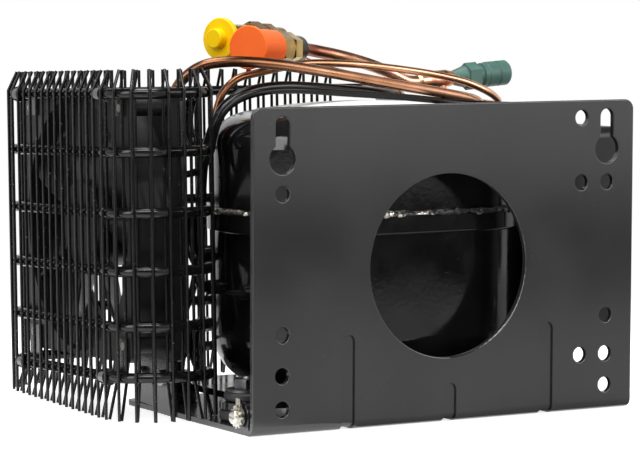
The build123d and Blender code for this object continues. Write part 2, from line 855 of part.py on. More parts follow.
def fan_stator():
    inner = 5.05
    outer = fan_hub_radius - 1.6 - 2.2 - fit_gap - air_gap
    core = rod_x(8.0, 9, 17, 0, 0)
    for angle in range(0, 360, 90):
        core += Rot(X=angle) * slab(9, 17, 6, 11.5, -2, 2)
        core += Rot(X=angle) * (slab(9, 17, 10.5, outer, -6, 6) & rod_x(outer, 9, 17, 0, 0))
        core += Rot(X=angle) * slab(8, 18, 7.4, 10.6, -3.6, 3.6)
    core -= rod_x(inner, 0, 30, 0, 0)
    return settle(Pos(fan_left_x, fan_y, fan_z) * core)


def fan_bracket():
    plate = fan_plate(fan_right_x + fit_gap, base_left - fit_gap)
    foot = slab(fan_right_x + fit_gap, base_left - fit_gap, tab_near, tab_far,
                6, fan_z - fan_size / 2 + 6)
    foot = fillet(foot.edges().filter_by(Axis.X).group_by(Axis.Z)[0], plate_round)
    body = plate + foot
    body -= rod_x(fan_size / 2 - fan_wall - 1, fan_right_x - 1, base_left + 1, fan_y, fan_z)
    for y, z in fan_hole_places():
        body -= rod_x(1.95, fan_right_x - 1, base_left + 1, y, z)
    for y, z in tab_holes():
        body -= rod_x(2.2, fan_right_x - 1, base_left + 1, y, z)
    return settle(body)


def pan_screw(x0, x1, y, z, shank=1.9, head=3.6):
    """A pan-head screw along X, its head towards -X with a cross recess."""
    body = rod_x(head, x0 - 2.6, x0, y, z)
    body = fillet(body.edges().group_by(Axis.X)[0], 1.1)
    body -= slab(x0 - 3, x0 - 1.6, y - 2, y + 2, z - 0.45, z + 0.45)
    body -= slab(x0 - 3, x0 - 1.6, y - 0.45, y + 0.45, z - 2, z + 2)
    return body + rod_x(shank, x0 - 0.5, x1, y, z)


def bracket_screws():
    x0 = fan_right_x - fit_gap
    return joined([settle(pan_screw(x0, base_left + sheet + 3, y, z)) for y, z in tab_holes()])


def fan_screws():
    """Screws from the bracket's side through the fan into the condenser's clips."""
    x0 = base_left + fit_gap
    x1 = fan_left_x - fit_gap - clip_sheet
    screw = mirror(pan_screw(-x0, -x1, 0, 0), Plane.YZ)
    return joined([settle(Pos(0, y, z) * screw) for y, z in fan_hole_places()])


def fan_lead():
    """The fan's cable, over the compressor and into the electronics case."""
    x, y = lead_entry()
    end = shell_left_x
    return pipe([settled(fan_right_x + seat_gap, 15, 109), (end - 20, 16, 108.6),
                 (end - 11.5, 14.6, 109.5), (end - 6, 12.6, 117), (end - 4.6, 12.2, 127),
                 (end - 0.8, 11.8, 136.3), (end + 7, 11, 142.4),
                 (-56, 10, 145.6), (-43, 10.5, 146.2), (-28, 12, 145.4), (-11.9, 15, 144),
                 (8, 19, 142.6), (26, 23, 141.2), (41.5, 26, 139.7), (56, 28, 138),
                 (72, 26, 136.8), (x - 12, 20, 136.2), (x - 2.5, 11, 136.6), (x, y, 134),
                 (x, y, unit_top - 3)], lead_radius)


# ---------------------------------------------------------------- condenser
def coil_plan():
    """The condenser's centreline in plan, from its near end to its rear end."""
    return [(coil_return, coil_end), (coil_return, coil_near), (coil_left, coil_near),
            (coil_left, coil_rear), (coil_right, coil_rear)]


def plan_path(z=0.0):
    return FilletPolyline([Vector(x, y, z) for x, y in coil_plan()], radius=list(coil_rounds))


def condenser_tube():
    """All rows and the bends that join them, as one bent tube, from the lowest row up."""
    rows = []
    for i, z in enumerate(row_heights):
        row = [(x, y, z) for x, y in coil_plan()]
        rounds = list(coil_rounds)
        if i % 2 == 0:
            row.reverse()
            rounds.reverse()
        rows.append((row, rounds))
    points = [rows[0][0][0]]
    radii = []
    for i, (row, rounds) in enumerate(rows):
        points += row[1:-1]
        radii += rounds
        if i == len(rows) - 1:
            points.append(row[-1])
            break
        bend = (row_heights[i + 1] - row_heights[i]) / 2
        before = Vector(*row[-2])
        end = Vector(*row[-1])
        turn = end + (end - before).normalized() * bend
        points += [(turn.X, turn.Y, turn.Z), (turn.X, turn.Y, row_heights[i + 1])]
        radii += [bend - fit_gap, bend - fit_gap]
    path = FilletPolyline([Vector(*p) for p in points], radius=radii)
    solid = sweep(Plane(path @ 0, z_dir=path % 0) * Circle(tube_radius), path=path)
    error = solid.volume / (math.pi * tube_radius ** 2 * path.length) - 1
    print("condenser tube %.0f mm, volume error %.4f" % (path.length, error))
    return settle(solid)


def bar_wire(points, radius):
    path = FilletPolyline([Vector(*p) for p in points], radius=1.6)
    return sweep(Plane(path @ 0, z_dir=path % 0) * Circle(radius), path=path)


def outer_wire(low):
    """A wire in its own plane, from its low end: X is outward from the tube's centreline."""
    x = wire_offset
    high = row_heights[-1] + wire_turn
    return bar_wire([(x, 0, low), (x, 0, high), (x - wire_kink, 0, high + wire_high)], wire_radius)


def inner_wire(low):
    x = -wire_offset
    high = row_heights[-1] + wire_turn + wire_high
    turn = row_heights[0] - wire_turn
    return bar_wire([(x, 0, high), (x, 0, turn), (x + wire_kink, 0, low)], wire_radius)


def wire_shares():
    """Where the wires stand, as shares of the condenser's length in plan."""
    length = plan_path().length
    count = int(length // wire_pitch)
    start = (length - (count - 1) * wire_pitch) / 2
    return [(start + wire_pitch * i) / length for i in range(count)]


def wire_places():
    """Placings along the condenser, with local X pointing out of the coil."""
    path = plan_path()
    places = []
    for share in wire_shares():
        point = path @ share
        heading = path % share
        outward = math.degrees(math.atan2(heading.Y, heading.X)) + 90
        places.append(Pos(point.X, point.Y, 0) * Rot(Z=outward))
    return places


def wire_end(place):
    """How low a wire there starts for its tip to be level with the others once settled."""
    lean_drop = (place.position.Y - fan_y) * math.sin(math.radians(lean_angle))
    tip = sheet + wire_lift
    return fan_z + (tip - fan_z + lean_drop) / math.cos(math.radians(lean_angle))


def condenser_wires(wire):
    return joined([settle(place * wire(wire_end(place))) for place in wire_places()])


def clip_middle(y):
    """The place on the left run, midway between two wires, that is nearest to y."""
    path = plan_path()
    shares = wire_shares()
    middles = [path @ ((a + b) / 2) for a, b in zip(shares, shares[1:])]
    left = [m for m in middles if m.X < coil_left + 0.01]
    return min(left, key=lambda m: abs(m.Y - y))


def condenser_clips():
    """Straps from the fan's corner screws to the top and bottom rows on the left side."""
    clips = []
    face = fan_left_x - fit_gap
    for y, z in fan_hole_places():
        upper = z > fan_z
        row_z = row_heights[-1] if upper else row_heights[0]
        hold = clip_middle(y)
        z0, z1 = sorted((z - clip_foot, row_z) if upper else (z + clip_foot, row_z))
        half = clip_width / 2
        near, far = min(y - clip_foot, hold.Y - half), max(y + clip_foot, hold.Y + half)
        thick = clip_sheet / 2
        strap = slab(face - clip_sheet, face, near, far, z0 - thick * (not upper),
                     z1 + thick * upper)
        arm = slab(hold.X, face - thick, hold.Y - half, hold.Y + half, row_z - thick,
                   row_z + thick)
        ring = rod_y(tube_radius + fit_gap + clip_ring, hold.Y - half, hold.Y + half,
                     hold.X, row_z)
        path = plan_path(row_z)
        bore = sweep(Plane(path @ 0, z_dir=path % 0) * Circle(tube_radius + fit_gap), path=path)
        body = strap + arm + ring - bore
        body -= rod_x(1.9, fan_left_x - 10, fan_left_x + 1, y, z)
        clips.append(settle(body))
    return joined(clips)


# ---------------------------------------------------------------- pipes and couplings
def filter_drier():
    half = drier_length / 2
    neck = 3.6
    body = spindle([(-half, neck), (-half + 7, neck), (-half + 16, drier_radius),
                    (half - 16, drier_radius), (half - 7, neck), (half, neck)])
    body -= Pos(0, 0, -half) * Cylinder(liquid_radius + fit_gap, 10)
    body -= Pos(0, 0, half) * Cylinder(tube_radius + fit_gap, 10)
    return Pos(drier_x, drier_y, drier_z) * Rot(Y=90) * body


def row_end(z):
    """The rear end of a condenser row, and a point further along its line."""
    return settled(coil_right + fit_gap, coil_rear, z), settled(coil_right + 13, coil_rear, z)


def condenser_outlet():
    """From the bottom row's end to the drier."""
    first, second = row_end(row_heights[0])
    end = drier_x + drier_length / 2 - 4
    return pipe([first, second, (second[0] + 8, second[1] - 10, second[2] + 3),
                 (second[0] + 7, second[1] - 24, second[2] + 9), (end + 12, drier_y, drier_z),
                 (end, drier_y, drier_z)], tube_radius)


def discharge_line():
    """From the shell's left end, over its top, to the condenser's top row."""
    end, y, z = stub_end("discharge")
    last, before = row_end(row_heights[-1])
    return pipe([(end + stub_depth, y, z), (end - 4, y, z), (end - 4.4, y + 0.2, z + 12),
                 (end - 4, y, z + 36), (end - 2.6, y + 0.1, z + 58), (end + 3.1, 18.5, 131),
                 (end + 7.1, 18, 138.2), (end + 14.6, 17.3, 143.8), (end + 25.6, 17, 146.8),
                 (-40.7, 17.5, 147.6),
                 (-25.6, 19, 146.8), (-7.7, 22, 145.2), (12.8, 27, 143.6), (30, 35, 142),
                 (43, 49, 140.2), (53, 70, 138), (61, 92, 136.6), (66.5, 108, 137),
                 (before[0] + 7, before[1] - 9, before[2] - 1.8), before, last],
                discharge_radius)


def liquid_line():
    """From the drier, up the shell's left end, over its top and back to the liquid coupling."""
    start = drier_x - drier_length / 2 + 4
    end = shell_left_x
    place = coupling_place(liquid_front, liquid_turn, liquid_dip)
    tail = at_length(place, coupling_length - 6)
    after = at_length(place, coupling_length + 5)
    return pipe([(start, drier_y, drier_z), (start - 12, drier_y, drier_z),
                 (end + 13, 78, 31), (end - 1, 60, 33), (end - 6.5, 40, 40), (end - 6, 28, 56),
                 (end - 5, 25, 80), (end - 4, 24.6, 104), (end - 1.2, 24.5, 122),
                 (end + 2.8, 24.4, 135), (end + 6, 24, 145), (end + 13.5, 24, 151.4),
                 (-51.5, 25, 153.2), (-38, 27, 155.3), (-23.5, 28.4, 157.6),
                 (-7, 29, 157.3), (10, 28.5, 156.2), (29, 28, 154), (48, 28, 151.3),
                 (66, 27, 147.4), (79, 26.5, 142), (86.5, 30, 137.6), (90.5, 41, 135.8),
                 (88, 55, 136.4), (78, 66, 139), (62, 72, 143), (40, 78, 148), (20, 82, 152.5),
                 (6, 84, 158), after, tail], liquid_radius)


def suction_line():
    """From the tee, looped down and back over the shell's top, to the suction stub."""
    end, y, z = stub_end("suction")
    left = shell_left_x
    x, ty, tz = at_length(tee_place(), branch_at)
    return pipe([(x, ty, tz - 2.6), (x, ty, tz - 11), (x + 5, ty + 1, tz - 15),
                 (x + 13, ty - 3, tz - 16), (x + 17, ty - 12, tz - 13.5), (74, 31.5, 138.5),
                 (62, 29.5, 140.8), (46.7, 28, 143.4), (19.1, 24, 147.6), (-2.4, 20, 151.2),
                 (-21.9, 18, 154.3), (-40, 16, 157), (-56, 14.5, 158.7), (left + 5, 15.5, 159.4),
                 (left - 7, 20, 157.8), (left - 15, 26.5, 150), (left - 17.5, 31, 138),
                 (left - 17, 33, 118), (left - 11, 33.3, 96), (end - 5.6, y, z + 9), (end - 4.5, y, z), (end + stub_depth, y, z)],
                suction_radius)


def suction_branch():
    """From the suction coupling to the tee."""
    place = coupling_place(suction_front, suction_turn, suction_dip)
    tee = tee_place()
    return pipe([at_length(place, coupling_length - 6), at_length(place, coupling_length + 5),
                 (14, 59, 159.6), (27, 53.5, 155.6), (38, 50.5, 151.2), at_length(tee, -8),
                 at_length(tee, 4)], branch_radius)


def tee_place():
    return along(tee_start, 0, -tee_rise)


def service_tee():
    body = spindle([(-1, 3.9), (3, 3.9), (6, tee_radius), (tee_length - 4, tee_radius),
                    (tee_length, 3.4)])
    body -= Cylinder(branch_radius + fit_gap, 10)
    body = tee_place() * body
    x, y, z = at_length(tee_place(), branch_at)
    body += rod_z(3.4, z - 7, z, x, y)
    return body - rod_z(suction_radius + fit_gap, z - 8, z - 2.4, x, y)


def service_valve():
    """Tapered body and hexagon, with a stem inside the cap."""
    low = tee_length + fit_gap
    body = spindle([(low, 3.4), (low + 6.5, 5.2), (low + 8, 5.2)])
    body += Pos(0, 0, low + 7.5) * extrude(RegularPolygon(6.6, 6), 6.5)
    body += Pos(0, 0, low + 13) * Cylinder(3.4, 12, align=(Align.CENTER, Align.CENTER, Align.MIN))
    return tee_place() * body


def service_cap():
    low = tee_length + 14 + seat_gap
    body = spindle([(low, 4.9), (low + 2, 4.9), (low + 2.4, 5.8), (low + 4.6, 5.8),
                    (low + 5, 6.1), (low + 10, 6.1), (low + 10.3, 5.7), (low + 10.9, 5.7),
                    (low + 11.2, 6.1), (low + 16.2, 6.1), (low + 17.2, 5.3)])
    bore = Pos(0, 0, low - 1) * Cylinder(3.45, 13, align=(Align.CENTER, Align.CENTER, Align.MIN))
    return tee_place() * (body - bore)


def coupling_place(front, turn, dip):
    return along(front, turn, dip)


def coupling_body(spigot, neck, flats, tail, bore):
    """A half coupling about Z: spigot, neck for the swivel nut, hexagon, domed boss and tail."""
    boss = spigot - 0.6
    body = spindle([(3, spigot), (20.5, spigot), (21.2, neck), (30.8, neck), (31, neck + 1),
                    (33, neck + 1.5), (39, boss - 0.4), (39.6, boss), (45.5, boss),
                    (48, tail + 0.9), (coupling_length, tail)])
    body += Pos(0, 0, 33) * extrude(RegularPolygon(flats / math.sqrt(3), 6), 6)
    body -= Pos(0, 0, coupling_length) * Cylinder(bore + fit_gap, 14)
    return body - Pos(0, 0, 3) * Cylinder(spigot - 2.2, 20)


def coupling_nut(neck, flats):
    """The swivel nut between the spigot and the hexagon."""
    nut = Pos(0, 0, 21.7) * extrude(RegularPolygon(flats / math.sqrt(3), 6), 8.6)
    nut &= spindle([(21.7, flats * 0.52), (22.7, flats * 0.575), (29.3, flats * 0.575),
                    (30.3, flats * 0.52)])
    return nut - Pos(0, 0, 26) * Cylinder(neck + fit_gap, 14)


def suction_parts():
    place = coupling_place(suction_front, suction_turn, suction_dip)
    body = coupling_body(6.9, 5.2, 13.5, 4.0, branch_radius)
    nut = coupling_nut(5.2, 15.0)
    cap = spindle([(0, 9.6), (0.5, 10.1), (1.4, 10.1), (2.6, 8.7), (21, 8.5), (21.5, 8.0)])
    cap -= Pos(0, 0, 2) * Cylinder(6.95, 30, align=(Align.CENTER, Align.CENTER, Align.MIN))
    return place * body, place * nut, place * cap


def liquid_parts():
    place = coupling_place(liquid_front, liquid_turn, liquid_dip)
    body = coupling_body(6.9, 5.2, 13.5, 3.2, liquid_radius)
    nut = coupling_nut(5.2, 15.0)
    cap = spindle([(-4.2, 4.1), (-3.6, 4.7), (0, 4.9), (0.1, 9.3), (0.7, 9.8), (2.6, 9.8),
                   (3.2, 8.6), (5, 8.2)])
    cap -= Pos(0, 0, 2.2) * Cylinder(6.95, 30, align=(Align.CENTER, Align.CENTER, Align.MIN))
    return place * body, place * nut, place * cap


# ---------------------------------------------------------------- writing
def build():
    suction_body, suction_nut, suction_cap = suction_parts()
    liquid_body, liquid_nut, liquid_cap = liquid_parts()
    nodes = {
        "base_bracket": base_bracket(), "earth_screw": earth_screw(),
        "lower_shell": lower_shell(), "upper_shell": upper_shell(), "seam_weld": seam_weld(),
        "compressor_label": compressor_label(), "foot_plates": foot_plates(),
        "rubber_grommets": rubber_grommets(), "spacer_sleeves": spacer_sleeves(),
        "mounting_studs": mounting_studs(), "foot_washers": foot_washers(),
        "foot_nuts": foot_nuts(), "tube_stubs": tube_stubs(),
        "hermetic_terminal": hermetic_terminal(), "motor_stator": motor_stator(),
        "motor_windings": motor_windings(), "motor_rotor": motor_rotor(),
        "crankshaft": crankshaft(), "crankcase": crankcase(), "piston": piston(),
        "connecting_rod": connecting_rod(), "wrist_pin": wrist_pin(),
        "cylinder_head": cylinder_head(), "stator_bolts": stator_bolts(),
        "suspension_springs": suspension_springs(),
        "electronics_bracket": electronics_bracket(),
        "electronics_housing": electronics_housing(), "electronics_cover": electronics_cover(),
        "circuit_board": circuit_board(), "power_terminals": power_terminals(),
        "cover_screws": cover_screws(), "fan_frame": fan_frame(), "fan_rotor": fan_rotor(),
        "fan_magnet": fan_magnet(), "fan_shaft": fan_shaft(), "fan_bearings": fan_bearings(),
        "fan_stator": fan_stator(), "fan_bracket": fan_bracket(),
        "bracket_screws": bracket_screws(), "fan_screws": fan_screws(), "fan_lead": fan_lead(),
        "condenser_tube": condenser_tube(),
        "condenser_wires_outer": condenser_wires(outer_wire),
        "condenser_wires_inner": condenser_wires(inner_wire),
        "condenser_clips": condenser_clips(), "filter_drier": filter_drier(),
        "condenser_outlet": condenser_outlet(), "discharge_line": discharge_line(),
        "liquid_line": liquid_line(), "suction_line": suction_line(),
        "suction_branch": suction_branch(), "service_tee": service_tee(),
        "service_valve": service_valve(), "service_cap": service_cap(),
        "suction_coupling": suction_body, "suction_nut": suction_nut,
        "suction_cap": suction_cap, "liquid_coupling": liquid_body,
        "liquid_nut": liquid_nut, "liquid_cap": liquid_cap,
    }
    os.makedirs("parts", exist_ok=True)
    for name, shape in nodes.items():
        export_step(shape, "parts/%s.step" % name)


build()
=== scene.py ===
import bpy
import math
from mathutils import Matrix, Vector


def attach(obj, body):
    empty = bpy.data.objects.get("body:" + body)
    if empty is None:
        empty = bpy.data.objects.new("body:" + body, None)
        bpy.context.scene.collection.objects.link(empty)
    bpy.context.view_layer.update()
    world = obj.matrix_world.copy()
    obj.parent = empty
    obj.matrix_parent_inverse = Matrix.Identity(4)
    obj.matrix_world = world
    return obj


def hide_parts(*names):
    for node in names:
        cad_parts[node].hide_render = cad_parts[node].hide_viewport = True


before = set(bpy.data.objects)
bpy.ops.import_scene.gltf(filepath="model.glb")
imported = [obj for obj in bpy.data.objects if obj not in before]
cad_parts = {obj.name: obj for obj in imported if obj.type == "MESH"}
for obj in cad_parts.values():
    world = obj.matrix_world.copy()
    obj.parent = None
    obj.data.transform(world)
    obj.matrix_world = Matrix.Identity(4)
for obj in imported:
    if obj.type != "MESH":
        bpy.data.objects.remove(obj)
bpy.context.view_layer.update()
bpy.ops.object.select_all(action="DESELECT")
scene = bpy.context.scene
scene.view_settings.view_transform = "Standard"

# Camera: a long lens in front of the wall plate, a little to the fan's side of it and just
# above the unit's top.
camera_place = (-0.7737, -1.2539, 0.2058)
camera_heading = -30.63
camera_dip = 4.78
camera_roll = 0.21
camera_data = bpy.data.cameras.new("camera")
camera_data.lens = 180.84
camera_data.sensor_width = 36
camera_data.clip_end = 30
camera = bpy.data.objects.new("camera", camera_data)
scene.collection.objects.link(camera)
camera.matrix_world = (Matrix.Translation(camera_place)
                       @ Matrix.Rotation(math.radians(camera_heading), 4, "Z")
                       @ Matrix.Rotation(math.radians(90 - camera_dip), 4, "X")
                       @ Matrix.Rotation(math.radians(camera_roll), 4, "Z"))
scene.camera = camera

# Studio: a sheet of white paper that fades into white surroundings, under large soft lamps. Gloss
# sees the surroundings, dark cards that give it bands, and one lit card above the front.
room_light = 0.4
paper_size = 4
paper_drop = 0.0002
paper_grey = 0.8
paper_lift = 0.8
paper_middle = (0, 0.03, 0)
paper_clear_from = 0.24
paper_clear_at = 0.5
lamp_aim = Vector((0, 0, 0.08))


def seen_directly(tree):
    """1 where the eye or a reflection sees the surface, 0 where it only lights others."""
    path = tree.nodes.new("ShaderNodeLightPath")
    either = tree.nodes.new("ShaderNodeMath")
    either.operation = "MAXIMUM"
    tree.links.new(path.outputs["Is Camera Ray"], either.inputs[0])
    tree.links.new(path.outputs["Is Glossy Ray"], either.inputs[1])
    both = tree.nodes.new("ShaderNodeMath")
    both.operation = "MAXIMUM"
    tree.links.new(either.outputs[0], both.inputs[0])
    tree.links.new(path.outputs["Is Transmission Ray"], both.inputs[1])
    return both.outputs[0]


def away_from(tree, point, core, reach):
    """0 within the core distance of a point, and 1 beyond the reach."""
    place = tree.nodes.new("ShaderNodeTexCoord")
    gap = tree.nodes.new("ShaderNodeVectorMath")
    gap.operation = "DISTANCE"
    gap.inputs[1].default_value = point
    fall = tree.nodes.new("ShaderNodeMapRange")
    fall.inputs["From Min"].default_value = core
    fall.inputs["From Max"].default_value = reach
    tree.links.new(place.outputs["Object"], gap.inputs[0])
    tree.links.new(gap.outputs["Value"], fall.inputs["Value"])
    return fall.outputs["Result"]


world = bpy.data.worlds.new("studio")
scene.world = world
world.use_nodes = True
tree = world.node_tree
room = tree.nodes["Background"]
room.inputs["Color"].default_value = (0.94, 0.96, 1.0, 1)
room.inputs["Strength"].default_value = room_light
backdrop = tree.nodes.new("ShaderNodeBackground")
backdrop.inputs["Color"].default_value = (1, 1, 1, 1)
backdrop.inputs["Strength"].default_value = 1.0
shown = tree.nodes.new("ShaderNodeMixShader")
tree.links.new(seen_directly(tree), shown.inputs[0])
tree.links.new(room.outputs[0], shown.inputs[1])
tree.links.new(backdrop.outputs[0], shown.inputs[2])
tree.links.new(shown.outputs[0], tree.nodes["World Output"].inputs["Surface"])

bpy.ops.mesh.primitive_plane_add(size=paper_size, location=(0, 0, -paper_drop))
floor = bpy.context.object
floor.name = "studio_floor"
bpy.ops.object.transform_apply(location=True)
floor_paper = bpy.data.materials.new("floor_paper")
floor_paper.use_nodes = True
tree = floor_paper.node_tree
paper = tree.nodes["Principled BSDF"]
paper.inputs["Base Color"].default_value = (paper_grey, paper_grey, paper_grey, 1)
paper.inputs["Roughness"].default_value = 0.9
paper.inputs["Specular IOR Level"].default_value = 0.1
glow = tree.nodes.new("ShaderNodeEmission")
glow.inputs["Color"].default_value = (1, 1, 1, 1)
lift = tree.nodes.new("ShaderNodeMath")
lift.operation = "MULTIPLY"
lift.inputs[1].default_value = paper_lift
tree.links.new(seen_directly(tree), lift.inputs[0])
tree.links.new(lift.outputs[0], glow.inputs["Strength"])
both = tree.nodes.new("ShaderNodeAddShader")
tree.links.new(paper.outputs[0], both.inputs[0])
tree.links.new(glow.outputs[0], both.inputs[1])
clear = tree.nodes.new("ShaderNodeBsdfTransparent")
faded = tree.nodes.new("ShaderNodeMixShader")
tree.links.new(away_from(tree, paper_middle, paper_clear_from, paper_clear_at), faded.inputs[0])
tree.links.new(both.outputs[0], faded.inputs[1])
tree.links.new(clear.outputs[0], faded.inputs[2])
tree.links.new(faded.outputs[0], tree.nodes["Material Output"].inputs["Surface"])
floor.data.materials.append(floor_paper)


def soft_lamp(name, place, width, height, power):
    """A rectangular lamp that faces the unit's middle."""
    data = bpy.data.lights.new(name, "AREA")
    data.shape = "RECTANGLE"
    data.size = width
    data.size_y = height
    data.energy = power
    lamp = bpy.data.objects.new(name, data)
    scene.collection.objects.link(lamp)
    lamp.location = place
    lamp.rotation_euler = (lamp_aim - Vector(place)).to_track_quat("-Z", "Y").to_euler()


soft_lamp("overhead", (-0.1, 0.1, 1.6), 0.7, 0.7, 18)
soft_lamp("top_front", (-0.65, -1.05, 1.5), 1.1, 0.35, 9)
soft_lamp("left_bank", (-1.5, -0.4, 0.7), 0.5, 1.2, 11)
soft_lamp("front_bank", (1.0, -1.5, 0.75), 0.9, 0.9, 12)


def card(name, place, size, turn, level, glow=0.0):
    """A matt card, grey or lit, that only gloss sees: it is tipped up and then turned round."""
    bpy.ops.mesh.primitive_plane_add(size=1, location=place)
    sheet = bpy.context.object
    sheet.name = name
    sheet.scale = (size[0], size[1], 1)
    sheet.rotation_euler = (math.radians(turn[0]), 0, math.radians(turn[1]))
    bpy.ops.object.transform_apply(location=True, rotation=True, scale=True)
    sheet.visible_camera = False
    sheet.visible_diffuse = False
    sheet.visible_shadow = False
    finish = bpy.data.materials.new(name)
    finish.use_nodes = True
    matt = finish.node_tree.nodes["Principled BSDF"]
    matt.inputs["Base Color"].default_value = (level, level, level, 1)
    matt.inputs["Roughness"].default_value = 0.9
    matt.inputs["Emission Color"].default_value = (1, 1, 1, 1)
    matt.inputs["Emission Strength"].default_value = glow
    sheet.data.materials.append(finish)


card("dark_card", (0.27, -0.48, 0.034), (1.0, 0.066), (90, 34), 0.005)
card("grey_card", (0.17, -0.19, 0.001), (0.9, 0.46), (0, 34), 0.5)
card("dark_ceiling", (0, 0, 2.2), (5, 5), (0, 0), 0.06)
card("camera_side", (-1.0, -1.6, 0.65), (1.5, 1.3), (90, -30.6), 0.01)
card("left_side", (-1.8, -0.35, 0.65), (1.8, 1.3), (90, 90), 0.02)
card("top_front_card", (-0.7, -1.13, 1.6), (1.6, 1.0), (41, -31.7), 0.8, 3.0)

# Base bracket: one pressed and folded steel sheet with a satin black powder coat, which has a
# fine orange peel and a few grains of dust. The fan's own bracket and clips have the same coat.


def shader_of(material):
    """The one shader node that every finish here ends in."""
    return material.node_tree.nodes["Principled BSDF"]


def new_finish(name, roughness, metallic=0.0, level=0.5):
    """A material, with the shader's constant values."""
    material = bpy.data.materials.new(name)
    material.use_nodes = True
    shader = shader_of(material)
    shader.inputs["Roughness"].default_value = roughness
    shader.inputs["Metallic"].default_value = metallic
    shader.inputs["Specular IOR Level"].default_value = level
    return material


def grain(material, scale, detail=3.0):
    """Noise with about that many cells per metre, fixed to the piece."""
    tree = material.node_tree
    place = tree.nodes.new("ShaderNodeTexCoord")
    noise = tree.nodes.new("ShaderNodeTexNoise")
    noise.inputs["Scale"].default_value = scale
    noise.inputs["Detail"].default_value = detail
    tree.links.new(place.outputs["Object"], noise.inputs["Vector"])
    return noise.outputs["Fac"]


def colours(material, pattern, *stops):
    """Base colour along a pattern, from (position, red, green, blue) stops."""
    ramp = material.node_tree.nodes.new("ShaderNodeValToRGB")
    for i, (position, *colour) in enumerate(stops):
        stop = ramp.color_ramp.elements[i] if i < 2 else ramp.color_ramp.elements.new(position)
        stop.position = position
        stop.color = (*colour, 1)
    material.node_tree.links.new(pattern, ramp.inputs["Fac"])
    material.node_tree.links.new(ramp.outputs["Color"], shader_of(material).inputs["Base Color"])


def ranged(material, pattern, start, end, low=0.0, high=1.0):
    """A pattern's stretch from start to end, spread over low to high."""
    span = material.node_tree.nodes.new("ShaderNodeMapRange")
    span.inputs["From Min"].default_value = start
    span.inputs["From Max"].default_value = end
    span.inputs["To Min"].default_value = low
    span.inputs["To Max"].default_value = high
    material.node_tree.links.new(pattern, span.inputs["Value"])
    return span.outputs["Result"]


def spread_gloss(material, pattern, low, high):
    """Roughness between two values along a pattern."""
    gloss = ranged(material, pattern, 0.3, 0.7, low, high)
    material.node_tree.links.new(gloss, shader_of(material).inputs["Roughness"])


def tint(material, amount, *colour):
    """Mixes a colour over what the piece has, by a pattern from 0 to 1."""
    tree = material.node_tree
    base = shader_of(material).inputs["Base Color"]
    mix = tree.nodes.new("ShaderNodeMix")
    mix.data_type = "RGBA"
    tree.links.new(amount, mix.inputs[0])
    tree.links.new(base.links[0].from_socket, mix.inputs[6])
    mix.inputs[7].default_value = (*colour, 1)
    tree.links.new(mix.outputs[2], base)


def relief(material, pattern, depth):
    """Bumps of that depth in metres along a pattern."""
    tree = material.node_tree
    bump = tree.nodes.new("ShaderNodeBump")
    bump.inputs["Strength"].default_value = 1.0
    bump.inputs["Distance"].default_value = depth
    tree.links.new(pattern, bump.inputs["Height"])
    tree.links.new(bump.outputs["Normal"], shader_of(material).inputs["Normal"])


def dress(material, *names):
    """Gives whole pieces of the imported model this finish."""
    for name in names:
        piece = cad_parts[name]
        piece.data.materials.clear()
        piece.data.materials.append(material)


powder_coat = new_finish("powder_coat", 0.2, level=0.76)
colours(powder_coat, grain(powder_coat, 14), (0.35, 0.012, 0.012, 0.013), (0.65, 0.019, 0.019, 0.019))
tint(powder_coat, ranged(powder_coat, grain(powder_coat, 1100, 1), 0.74, 0.78), 0.09, 0.09, 0.088)
spread_gloss(powder_coat, grain(powder_coat, 30), 0.18, 0.23)
relief(powder_coat, grain(powder_coat, 1500, 1.0), 0.00002)
dress(powder_coat, "base_bracket", "fan_bracket", "condenser_clips")

# Compressor shells: two deep-drawn steel shells in gloss black enamel, with a faint orange peel
# and a little spatter and dust. The foot plates and the electronics bracket were sprayed too.
shell_enamel = new_finish("shell_enamel", 0.1, level=0.42)
colours(shell_enamel, grain(shell_enamel, 25), (0.4, 0.004, 0.004, 0.004), (0.62, 0.008, 0.008, 0.008))
tint(shell_enamel, ranged(shell_enamel, grain(shell_enamel, 1300, 1), 0.76, 0.80), 0.07, 0.07, 0.066)
spread_gloss(shell_enamel, grain(shell_enamel, 70), 0.07, 0.17)
relief(shell_enamel, grain(shell_enamel, 420, 1.0), 0.00002)
dress(shell_enamel, "lower_shell", "upper_shell", "foot_plates", "electronics_bracket")

# Seam weld: the run of metal laid round the shells' lip by a machine, lumpy and partly sprayed
# over, with specks of bare steel. Bare bright metal at the fan's end is a painted highlight.
weld_lift = 0.0026
weld_level = 0.35
weld_voxel = 0.0006
weld_lump_size = 0.0035
corner_join = 0.00001
highlight_full_at = -0.02
highlight_gone_at = 0.015


def merged_copy(node, name):
    """A CAD piece's own mesh again, with its corners joined, as a new object."""
    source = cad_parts[node]
    piece = bpy.data.objects.new(name, source.data.copy())
    piece.matrix_world = source.matrix_world
    scene.collection.objects.link(piece)
    bpy.ops.object.select_all(action="DESELECT")
    piece.select_set(True)
    bpy.context.view_layer.objects.active = piece
    bpy.ops.object.mode_set(mode="EDIT")
    bpy.ops.mesh.select_all(action="SELECT")
    bpy.ops.mesh.remove_doubles(threshold=corner_join)
    bpy.ops.object.mode_set(mode="OBJECT")
    return piece


def apply_modifier(piece, kind, **settings):
    """Finishes the active piece with one of Blender's modifiers."""
    modifier = piece.modifiers.new(kind.lower(), kind)
    for setting, value in settings.items():
        setattr(modifier, setting, value)
    bpy.ops.object.modifier_apply(modifier=modifier.name)


def along(material, axis):
    """The place on the piece along one of its own axes, in metres."""
    tree = material.node_tree
    place = tree.nodes.new("ShaderNodeTexCoord")
    split = tree.nodes.new("ShaderNodeSeparateXYZ")
    tree.links.new(place.outputs["Object"], split.inputs[0])
    return split.outputs[axis]


